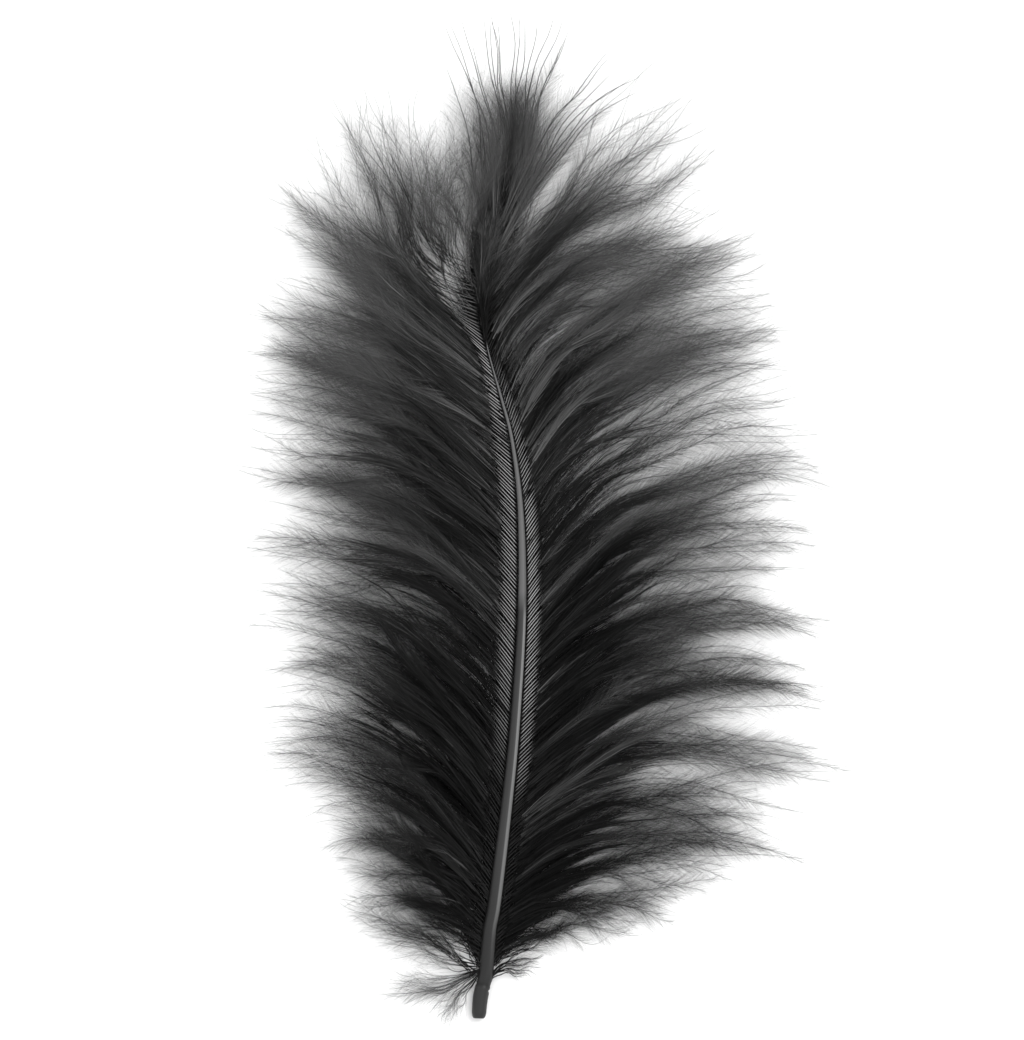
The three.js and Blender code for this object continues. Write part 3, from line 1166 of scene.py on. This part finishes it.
    def waves(self, share: Array, rng: np.random.Generator) -> Array:
        """How far each barb strays sideways from its line.

        A long swing, a lean, a flick at the tip and a sway are shared with neighbours, and grow
        with the lock's curl. Small waves are the barb's own.

        Args:
            share: The share of the way along, for each barb and step.
            rng: Where the random values come from.

        Returns:
            The offsets, for each barb and step.
        """
        n, number = self.barbs, self.numbers
        phase = 2 * math.pi * drift(number, 4.0, rng) + self.shared(0.5, rng) + rng.normal(0, 0.3, n)
        turns = (self.swing_turns + 0.5 * drift(number, 5.0, rng))[:, None]
        strength = (self.swing + 0.35 * drift(number, 3.0, rng))[:, None]
        swing = strength * np.sin(2 * math.pi * turns * share + phase[:, None])
        own_phase = rng.uniform(0, 2 * math.pi, n)[:, None]
        own_turns = rng.uniform(1.5, 4.0, n)[:, None]
        own = self.own_wave * np.sin(2 * math.pi * own_turns * share + own_phase)
        lean = (self.shared(0.5, rng) + rng.normal(0.0, 0.4, n))[:, None] * share
        flick = (self.shared(1.0, rng) + rng.normal(0.0, 1.0, n))[:, None] * share**3
        sway = self.sway * drift(number, 1.1, rng)[:, None] * share**2.5
        curl = self.guides.value("curl", number)[:, None]
        bends = curl * (swing * share**0.5 + lean + flick + sway) + own * share**0.3
        return self.wander * smoothstep(share * 2.2) * bends

    def heights(self, share: Array, roots: Array, rng: np.random.Generator) -> Array:
        """How high each barb lies: it rises from the shaft, arches and comes down at its tip.

        Args:
            share: The share of the way along, for each barb and step.
            roots: How high the barbs' roots are.
            rng: Where the random values come from.

        Returns:
            The heights, for each barb and step.
        """
        level = 0.5 + 0.3 * drift(self.numbers, 0.7, rng) + rng.uniform(-0.3, 0.3, self.barbs)
        level = np.clip(level, 0.02, 1.0)[:, None]
        middle = self.lowest + self.top * level
        tip = self.lowest + self.tip_top * level
        start = roots[:, None]
        away = 1 - share
        arch = away**3 * start + 3 * away * share * middle + share**3 * tip
        phase = rng.random(self.barbs)[:, None]
        ripple = self.ripple * np.sin(2 * math.pi * (self.ripple_turns * share + phase))
        return arch + ripple * share

    def frames(self) -> tuple[Array, Array]:
        """The sideways and upward directions at every point of every barb.

        Returns:
            The two directions, each as (barbs, steps + 1, 3).
        """
        tangent = unit(np.gradient(self.lines, axis=1))
        side = unit(np.cross(UPWARD, tangent))
        return side, np.cross(tangent, side)

    def shafts(self, heap: Fibres, rng: np.random.Generator) -> None:
        """Adds the barbs' own shafts, three-sided and tapered, to a heap.

        Args:
            heap: Where they go.
            rng: Where the random values come from.
        """
        n, count = self.lines.shape[:2]
        spaced = np.arange(CLOSE_RINGS, count, 2)
        keep = np.unique(np.concatenate([np.arange(CLOSE_RINGS), spaced, [count - 1]]))
        line = self.lines[:, keep]
        side, up = (d[:, keep] for d in self.frames())
        travelled = self.travelled[:, keep]
        gone = travelled / self.travelled[:, -1:]
        half = self.base_extra * (1 - eased(travelled, 1.5, 3.5)) + self.hair_width / 2
        half = half * (1 - gone) ** 0.5 + BARB_TIP * self.hair_width
        corners = []
        for angle in BARB_CORNERS:
            turn = math.radians(angle)
            offset = side * math.cos(turn) + up * math.sin(turn) * BARB_FLATNESS
            corners.append(line + offset * half[..., None])
        points = np.stack(corners, axis=2).reshape(n, -1, 3)
        rings = len(keep)
        faces = []
        for k in range(rings - 1):
            for c in range(3):
                d = (c + 1) % 3
                faces.append([3 * k + c, 3 * k + d, 3 * k + 3 + d, 3 * k + 3 + c])
        # How strong the painted highlight on each barb's bare base is, carried on the map's u.
        base_highlight = graded(self.highlight_share, self.stations) * rng.uniform(0.7, 1.0, n)
        u = np.repeat(np.clip(base_highlight, *TONES)[:, None], rings * 3, axis=1)
        u = np.clip(u + np.tile([0.0, MAP_EDGE, -MAP_EDGE], rings)[None, :], 0.0, 1.0)
        v = 0.5 * np.clip(travelled / (2 * self.bares[:, None]), 0, 1) + 0.5 * gone**2
        v = np.repeat(np.clip(v, 0, 1), 3, axis=1)
        heap.add(points, np.array(faces), np.stack([u, v], axis=-1))

    def at(self, barb: Array, distance: Array, field_of: Array) -> Array:
        """Reads an array that has a value for every point of every barb.

        Args:
            barb: The barbs' numbers.
            distance: How far along each barb.
            field_of: The array, (barbs, steps + 1, ...).

        Returns:
            The values.
        """
        steps = self.lines.shape[1] - 1
        place_on = np.clip(distance / self.travelled[barb, -1], 0.0, 0.9999) * steps
        for _ in range(3):
            low = np.clip(place_on.astype(int), 0, steps - 1)
            start = self.travelled[barb, low]
            size = np.maximum(self.travelled[barb, low + 1] - start, 1e-6)
            place_on = np.clip(low + (distance - start) / size, 0, steps - 1e-6)
        low = place_on.astype(int)
        rest = (place_on - low)[:, None]
        return field_of[barb, low] * (1 - rest) + field_of[barb, low + 1] * rest

    def strands(self, heap: Fibres, pick: Array, rng: np.random.Generator) -> None:
        """Adds the combed strands, barbules that cling together and lie along the barb.

        Args:
            heap: Where they go.
            pick: The barbs' numbers.
            rng: Where the random values come from.
        """
        near_quill = 1.0 - eased(self.stations[pick], 22.0, 30.0)
        shorter = 0.35 + 0.65 * eased(self.stations[pick], 9.0, 16.0)
        lengths = self.travelled[pick, -1] * self.strand_reach * shorter
        lengths = np.maximum(lengths - self.bares[pick], 0.1)
        closer = 1.0 + 0.8 * near_quill
        counts = (lengths * self.strands_per_mm * closer * self.fullness[pick] ** 2).astype(int)
        barb = np.repeat(pick, counts)
        total = len(barb)
        thinning = 1.0 - np.sqrt(1.0 - self.strand_fade * rng.random(total))
        thinning = thinning / (1.0 - math.sqrt(1.0 - self.strand_fade))
        start = self.bares[barb] * 0.95 + np.repeat(lengths, counts) * thinning
        run = self.strand_length * rng.uniform(0.6, 1.25, total)
        shift = rng.normal(0.0, self.strand_spread, total)
        rise = rng.normal(0.0, self.strand_rise, total)
        tone = self.tones[barb] + rng.normal(0.0, self.strand_uneven, total)
        width = self.strand_width * rng.uniform(0.6, 1.5, total)
        bends = self.along_barbs(barb, start, run, shift, rise)
        heap.add_strips(*bends, width, tone, rng)

    def undercoat(self, heap: Fibres, pick: Array, rng: np.random.Generator) -> None:
        """Adds the down of the dense part, matted strips that close the gaps below the strands.

        Args:
            heap: Where they go.
            pick: The barbs' numbers.
            rng: Where the random values come from.
        """
        deep = 0.6 * self.strand_reach * eased(self.stations[pick], 10.0, 15.0)
        lengths = np.maximum(self.travelled[pick, -1] * deep - self.bares[pick], 0.1)
        counts = (lengths * self.coat_per_mm * self.fullness[pick] ** 2).astype(int)
        barb = np.repeat(pick, counts)
        total = len(barb)
        start = self.bares[barb] + np.repeat(lengths, counts) * rng.random(total)
        run = rng.uniform(*self.coat_lengths, total)
        shift = rng.normal(0.0, self.coat_spread, total)
        rise = rng.uniform(*self.coat_heights, total)
        # Painted shade: the undercoat is darker than the strands that lie over it.
        tone = self.tones[barb] - self.coat_shade
        width = self.coat_width * rng.uniform(0.6, 1.2, total)
        bends = self.along_barbs(barb, start, run, shift, rise)
        heap.add_strips(*bends, width, tone, rng)

    def along_barbs(
        self, barb: Array, start: Array, run: Array, shift: Array, rise: Array
    ) -> tuple[Array, Array, Array]:
        """Where strips that lie along their barbs start, bend and end.

        Args:
            barb: The barbs' numbers.
            start: How far along its barb each strip starts.
            run: The strip's length.
            shift: How far it lies to the barb's side.
            rise: How far it lies above the barb.

        Returns:
            The three places of each strip.
        """
        side, up = self.frames()
        found = []
        for step, spread in ((0.0, 0.45), (0.5, 0.8), (1.0, 1.15)):
            distance = start + run * step
            place_at = self.at(barb, distance, self.lines)
            aside = self.at(barb, distance, side) * shift[:, None]
            above = self.at(barb, distance, up) * rise[:, None]
            found.append(place_at + (aside + above) * spread)
        return found[0], found[1], found[2]

    def barbules(self, heap: Fibres, pick: Array, rng: np.random.Generator) -> None:
        """Adds the barbules that stand off the barbs.

        A real barbule is a few hundredths of a millimetre across, and these are about as thin but
        fewer. Those of one clump, a short stretch of one side of a barb, lean much alike.

        Args:
            heap: Where they go.
            pick: The barbs' numbers.
            rng: Where the random values come from.
        """
        full = self.travelled[pick, -1]
        usable = np.maximum(full * self.fluff_end[pick] - self.bares[pick], 0.5)
        counts = (usable * self.barbules_per_mm * self.fullness[pick]).astype(int) + 2
        barb = np.repeat(pick, counts)
        total = len(barb)
        bare = self.bares[barb]
        distance = bare + self.fluff_places(counts, rng) * np.repeat(usable, counts)
        right = rng.integers(0, 2, total)
        clump = (distance / self.clump_pitch + 0.5 * right).astype(int)
        middle = np.clip((clump + 0.5 - 0.5 * right) * self.clump_pitch, bare, None)
        alike = rng.normal(size=(3, self.barbs, 2, clump.max() + 1))[:, barb, right, clump]
        ahead, behind = middle + 0.3, middle - 0.3
        along = unit(self.at(barb, ahead, self.lines) - self.at(barb, behind, self.lines))
        side = unit(np.cross(UPWARD, along))
        up = np.cross(along, side)
        gone = middle / self.travelled[barb, -1]
        lift = np.radians(self.lift_alike * alike[0] + rng.normal(0.0, self.lift_spread, total))
        wide = eased(gone, 0.28, 0.35) - 0.55 * eased(gone, 0.75, 0.25)
        opening = self.opening + self.opening_beyond * wide
        lean = 1.0 + 0.05 * alike[1] + rng.normal(0.0, self.lean_spread, total)
        lean = np.radians(lean * opening)
        aside = side * ((2 * right - 1) * np.cos(lift))[:, None] + up * np.sin(lift)[:, None]
        out = along * np.cos(lean)[:, None] + aside * np.sin(lean)[:, None]
        near_end = 1.0 - eased(gone / self.fluff_end[barb], 0.78, 0.22)
        grown = (0.35 + 0.65 * near_end) * np.minimum(1.0, (distance - bare) / 4.0 + 0.3)
        spread = np.exp(0.05 * alike[2] + rng.normal(-0.05, self.length_spread, total))
        spread = np.clip(spread, *self.length_limits)
        root = self.at(barb, distance, self.lines)
        tip = root + out * (self.barbule_length * grown * spread)[:, None]
        paler = self.fringe_pale * eased(gone, 0.25, 0.45)
        tone = self.tones[barb] + paler + rng.normal(0.0, 0.08, total)
        width = self.barbule_width * np.exp(rng.normal(0.0, 0.3, total))
        heap.add_needles(root, tip, width, tone, rng)

    def fluff_places(self, counts: Array, rng: np.random.Generator) -> Array:
        """Spaces each barb's barbules along its fluffy length, as close as `fluff` says.

        Args:
            counts: How many barbules each barb has.
            rng: Where the random values come from.

        Returns:
            The share of the fluffy length at which each barbule grows, barb by barb.
        """
        place_at = np.linspace(0.0, 1.0, 101)
        weight = graded(self.fluff, place_at)
        total = np.cumsum(weight) - weight[0]
        order = np.arange(counts.sum()) - np.repeat(np.cumsum(counts) - counts, counts)
        even = (order + rng.random(len(order))) / np.repeat(counts, counts)
        return np.interp(even, total / total[-1], place_at)

    def floss(self, heap: Fibres, pick: Array, rng: np.random.Generator) -> None:
        """Adds the longest barbules, fine threads that drift along with the barb's outer half.

        Args:
            heap: Where they go.
            pick: The barbs' numbers.
            rng: Where the random values come from.
        """
        full = self.travelled[pick, -1]
        counts = (0.7 * full * self.floss_per_mm * np.sqrt(self.fullness[pick])).astype(int)
        barb = np.repeat(pick, counts)
        total = len(barb)
        length = self.travelled[barb, -1]
        start = length * self.fluff_end[barb] * (0.15 + 0.7 * rng.random(total))
        run = self.floss_length * rng.uniform(0.5, 1.1, total) * (1.1 - 0.6 * start / length)
        side, up = self.frames()
        apart = rng.normal(0.0, self.floss_spread, total)[:, None]
        rise = rng.normal(0.0, self.floss_rise, total)[:, None]
        bends = []
        for step, spread in ((0.0, 0.0), (0.5, 0.42), (1.0, 1.0)):
            distance = start + run * step
            on = np.minimum(distance, length - 0.1)
            ahead = unit(self.at(barb, on, self.lines) - self.at(barb, on - 1.0, self.lines))
            place_at = self.at(barb, on, self.lines) + ahead * (distance - on)[:, None]
            aside = self.at(barb, on, side) * apart + self.at(barb, on, up) * rise
            bends.append(place_at + aside * spread)
        paler = self.fringe_pale * eased(start / length, 0.25, 0.4)
        tone = self.tones[barb] + paler + rng.normal(0.0, 0.12, total)
        width = self.floss_width * rng.uniform(0.6, 1.5, total)
        heap.add_strips(*bends, width, tone, rng)

    def build(self, parts: int) -> list[bpy.types.Object]:
        """Makes the vane's pieces.

        Args:
            parts: How many pieces the barbules are shared out to.

        Returns:
            The pieces: the barbs' shafts first, then the down from the first barb on.
        """
        self.grow()
        rng = np.random.default_rng(self.seed + 1)
        heap = Fibres()
        self.shafts(heap, rng)
        made = [heap.build(f"{self.name}_barbs")]
        for k, pick in enumerate(np.array_split(np.arange(self.barbs), parts)):
            heap = Fibres()
            for grow_kind in (self.undercoat, self.strands, self.barbules, self.floss):
                grow_kind(heap, pick, rng)
            made.append(heap.build(f"{self.name}_down_{k + 1}"))
        return made


@dataclass
class Tuft(Vane):
    """Barbs that leave the shaft close together, in no order."""

    root_spread: float = 2.5
    root_margin: float = 5.0

    def place_roots(self, rng: np.random.Generator) -> None:
        """Spreads the barbs over the row of locks, whose roots aren't in order here.

        Args:
            rng: Where the random values come from.
        """
        last = len(self.guides.locks) - 1
        self.numbers = np.linspace(0.0, last, self.barbs)
        root = self.guides.value("root", self.numbers)
        strayed = root + rng.normal(0.0, self.root_spread, self.barbs)
        margin = self.root_margin
        self.stations = np.clip(strayed, self.first - margin, self.last + margin)


@dataclass
class After(Tuft):
    """The flatter barbs of a second layer, which lies low under a vane."""

    reach: float = 0.96
    stray: float = 0.6
    bunching: float = 0.3
    top: float = 4.0


@dataclass
class Loose(Tuft):
    """Single barbs that came free and cross the others high up, with few barbules."""

    reach: float = 0.97
    reach_spread: float = 0.12
    group_size: float = 1.0
    cling: float = 0.0
    bunching: float = 0.0
    stray: float = 1.2
    alone: float = 1.2
    top: float = 8.0
    hair_width: float = 0.05
    strands_per_mm: float = 0.0
    coat_per_mm: float = 0.0
    barbules_per_mm: float = 9.0
    floss_per_mm: float = 0.5


@dataclass
class UnderDown:
    """The soft down behind the shaft, which fills the gaps between the bare bases of the barbs."""

    shaft: Shaft
    first: float = 7.4
    last: float = 124.0
    strands: int = 9000
    spread: float = 2.1
    length: float = 7.0
    strand_width: float = 0.11
    tone: float = 0.3
    uneven: float = 0.12
    seed: int = 71

    def build(self) -> bpy.types.Object:
        """Makes the strands, each a thin strip along the shaft, below it.

        Returns:
            The piece.
        """
        rng = np.random.default_rng(self.seed)
        n = self.strands
        along = rng.uniform(self.first, self.last, n)
        point, heading = self.shaft.at(along)
        at_foot = 0.4 + 0.6 * eased(along, 7, 9)
        at_tip = 1 - 0.65 * eased(along, 94, 8)
        off = rng.normal(0.0, 1.0, n) * self.spread * (at_foot * at_tip)
        root = point.copy()
        root[:, 0] += off
        root[:, 2] = rng.uniform(0.3, 0.8, n) * point[:, 2] - 0.4
        turn = heading - np.sign(off) * rng.uniform(0.05, 0.7, n)
        run = np.stack([np.cos(turn), np.sin(turn), rng.normal(0, 0.06, n)], axis=-1)
        length = (self.length * rng.uniform(0.5, 1.1, n))[:, None]
        heap = Fibres()
        width = np.full(n, self.strand_width)
        tone = rng.normal(self.tone, self.uneven, n)
        heap.add_strips(root, root + run * length * 0.5, root + run * length, width, tone, rng)
        return heap.build("under_down")


# ---- The studio ---------------------------------------------------------------------------------


@dataclass
class Studio:
    """A pale floor, soft light from all round and a long lens looking straight down."""

    frame_px: tuple[int, int] = (1024, 1040)
    scale: float = 0.15  # mm of the surface for one pixel
    quill_px: tuple[float, float] = (480.0, 1018.0)
    distance: float = 1800.0
    floor_size: float = 8.0
    sensor: float = 36.0
    sky: float = 1.15
    lamp_power: float = 6.0
    lamp_at: tuple[float, float, float] = (0.5, 0.35, 0.9)
    lamp_size: float = 0.6

    def build(self) -> None:
        """Makes the floor, the lights and the camera."""
        bpy.ops.mesh.primitive_plane_add(size=self.floor_size, location=(0, 0, 0))
        floor = bpy.context.object
        floor.name = "floor"
        floor.data.materials.append(Paper().build())
        world = bpy.data.worlds.new("studio")
        bpy.context.scene.world = world
        world.use_nodes = True
        world.node_tree.nodes["Background"].inputs["Color"].default_value = (1, 1, 1, 1)
        world.node_tree.nodes["Background"].inputs["Strength"].default_value = self.sky
        self.add_lamp("key")
        self.add_camera()
        scene = bpy.context.scene
        scene.view_settings.view_transform = "Standard"
        scene.view_settings.look = "None"

    def add_lamp(self, name: str) -> None:
        """Adds a square soft lamp that points at the plume.

        Args:
            name: The lamp's name.
        """
        data = bpy.data.lights.new(name, "AREA")
        data.size = self.lamp_size
        data.energy = self.lamp_power
        lamp = bpy.data.objects.new(name, data)
        lamp.location = self.lamp_at
        lamp.rotation_euler = (-Vector(self.lamp_at)).to_track_quat("-Z", "Y").to_euler()
        bpy.context.scene.collection.objects.link(lamp)

    def add_camera(self) -> None:
        """Adds the camera, level with the frame's middle and looking straight down."""
        right = (self.frame_px[0] / 2 - self.quill_px[0]) * self.scale - OUTLINE_MIDDLE[0]
        along = (self.quill_px[1] - self.frame_px[1] / 2) * self.scale - OUTLINE_MIDDLE[1]
        data = bpy.data.cameras.new("camera")
        data.sensor_width = self.sensor
        data.lens = self.sensor * self.distance / (max(self.frame_px) * self.scale)
        data.clip_start = 0.1
        data.clip_end = 50.0
        camera = bpy.data.objects.new("camera", data)
        camera.location = (right * MM, along * MM, self.distance * MM)
        bpy.context.scene.collection.objects.link(camera)
        bpy.context.scene.camera = camera


# ---- The plume ----------------------------------------------------------------------------------


@dataclass
class Plume:
    """The whole plume: shaft, two vanes, the tuft at the tip and the down behind the shaft."""

    shaft: Shaft = field(default_factory=Shaft)

    def vanes(self) -> list[tuple[Vane, int]]:
        """Lays out the vanes and the tufts.

        Returns:
            Each with the number of pieces that its down takes.
        """
        left = Guides(LEFT_LOCKS, Side.LEFT, self.shaft, stretch=1.06)
        right = Guides(RIGHT_LOCKS, Side.RIGHT, self.shaft, stretch=1.06)
        tuft = Guides(TUFT_LOCKS, Side.LEFT, self.shaft)
        column = Guides(COLUMN_LOCKS, Side.LEFT, self.shaft)
        left_wisps = Guides(LEFT_WISPS, Side.LEFT, self.shaft)
        right_wisps = Guides(RIGHT_WISPS, Side.RIGHT, self.shaft)
        crown = Guides(CROWN_LOCKS, Side.LEFT, self.shaft)
        cover = Guides(COVER_LOCKS, Side.LEFT, self.shaft)
        even = ((0, 0.45), (0.2, 0.6), (0.4, 0.55), (0.6, 0.55), (0.8, 0.5), (1, 0.4))
        return [
            # Some vanes set how strong the painted highlight on their barbs' bare bases is.
            (Vane("left_vane", left, 8.2, 112.5, 171, seed=11, reach=0.96, reach_spread=0.16,
                  uneven=0.2, highlight_share=LEFT_BASE_HIGHLIGHT, bare=LEFT_BARE), 3),
            (Vane("right_vane", right, 8.0, 110.9, 168, seed=23, reach=0.96, reach_spread=0.2,
                  uneven=0.24, strand_reach=0.43, strand_fade=0.93, strands_per_mm=4.4, fluff=even,
                  highlight_share=RIGHT_BASE_HIGHLIGHT, bare=RIGHT_BARE), 3),
            (After("left_after", left, 8.2, 104.0, 95, seed=61, reach_spread=0.16,
                   strand_reach=0.4, bare=LEFT_BARE), 1),
            (After("right_after", right, 8.0, 108.0, 100, seed=67, reach_spread=0.2,
                   strand_reach=0.36, strand_fade=0.97, fluff=even, bare=RIGHT_BARE), 1),
            (Tuft("tuft", tuft, 110.0, 122.0, 30, seed=37, hairs=0.6, reach=0.97, stray=0.3,
                  strand_reach=0.2, hair_width=0.15, root_spread=1.0, fluffy=(0.6, 0.75),
                  group_size=1.0, alone=0.3, hair_reach=0.93, coat_per_mm=0.0, wander=0.5), 1),
            (Tuft("right_top", Guides(RIGHT_LOCKS[-8:], Side.RIGHT, self.shaft), 93.0, 112.0, 24,
                  seed=71, reach=0.9, reach_spread=0.15, stray=0.8, strand_reach=0.25,
                  bunching=0.2, coat_per_mm=0.0), 1),
            (Loose("right_loose", Guides(RIGHT_LOCKS[-10:-1], Side.RIGHT, self.shaft), 79.0, 108.0,
                   26, seed=83, wander=2.4), 1),
            (Loose("left_loose", Guides(LEFT_LOCKS[-13:-4], Side.LEFT, self.shaft), 80.0, 108.0,
                   22, seed=89, wander=1.8), 1),
            (Tuft("column", column, 105.0, 123.0, 44, seed=41, reach=0.92, reach_spread=0.16,
                  strand_reach=0.25, stray=0.3, coat_per_mm=0.0), 1),
            (Tuft("crown", crown, 106.0, 115.0, 28, seed=43, reach=1.0, strand_reach=0.2,
                  stray=0.4, hair_width=0.045, coat_per_mm=0.0, highlight_share=level(0.25),
                  bare=level(6.0), pale=level(0.85)), 1),
            (Tuft("cover", cover, 101.0, 112.0, 26, seed=47, reach=0.92, strand_reach=0.7,
                  root_spread=0.8, bare=level(0.8), wander=0.6, pale=level(0.5)), 1),
            (Tuft("left_foot", Guides(LEFT_LOCKS[:7], Side.LEFT, self.shaft), 8.2, 22.0, 26,
                  seed=79, reach=0.92, reach_spread=0.2, strand_reach=0.3, hair_width=0.045,
                  stray=0.3, wander=0.9, top=3.0, bare=LEFT_BARE, pale=level(0.7), coat_per_mm=0.0), 1),
            (Tuft("left_wisps", left_wisps, 6.7, 8.4, 20, seed=53, strands_per_mm=0.0, reach=0.98,
                  barbules_per_mm=9, root_spread=0.2, top=1.5, bare=level(0.8), coat_per_mm=0.0,
                  hairs=1.0, hair_reach=0.85, fluffy=(0.85, 0.98), barbule_length=3.0,
                  barbule_width=0.016, stray=0.0, group_size=1.0, cling=0.0, bunching=0.0,
                  alone=0.2, wander=0.8, hair_width=0.055, pale=level(0.7), floss_per_mm=0.3,
                  floss_length=4.0), 1),
            (Tuft("right_wisps", right_wisps, 6.4, 6.8, 12, seed=59, strands_per_mm=0.3, reach=1.0,
                  barbules_per_mm=12, barbule_length=1.5, root_spread=0.2, top=1.5, bare=level(0.8),
                  stray=0.2, alone=0.2, wander=0.35, hair_width=0.08, pale=level(0.45),
                  floss_per_mm=0.6, floss_length=3.0, floss_spread=0.5, coat_per_mm=0.0), 1),
        ]

    def build(self) -> None:
        """Makes and dresses every piece and puts it on the plume's body."""
        down = DyedDown().build()
        barb = BarbKeratin().build()
        rod = self.shaft.build()
        self.dress(rod, ShaftKeratin().build())
        for vane, parts in self.vanes():
            pieces = vane.build(parts)
            self.dress(pieces[0], barb)
            for piece in pieces[1:]:
                self.dress(piece, down)
        self.dress(UnderDown(self.shaft).build(), down)

    @staticmethod
    def dress(piece: bpy.types.Object, material: bpy.types.Material) -> None:
        """Gives a piece its material and its body, and hides the solid model's part.

        Args:
            piece: The piece.
            material: Its material.
        """
        piece.data.materials.append(material)
        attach(piece, BODY)
        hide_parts(NODE)


def main() -> None:
    """Loads the solid model and builds the plume and the studio round it."""
    logging.basicConfig(level=logging.INFO, format="%(name)s: %(message)s")
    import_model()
    Plume().build()
    Studio().build()


if __name__ == "__main__":
    main()
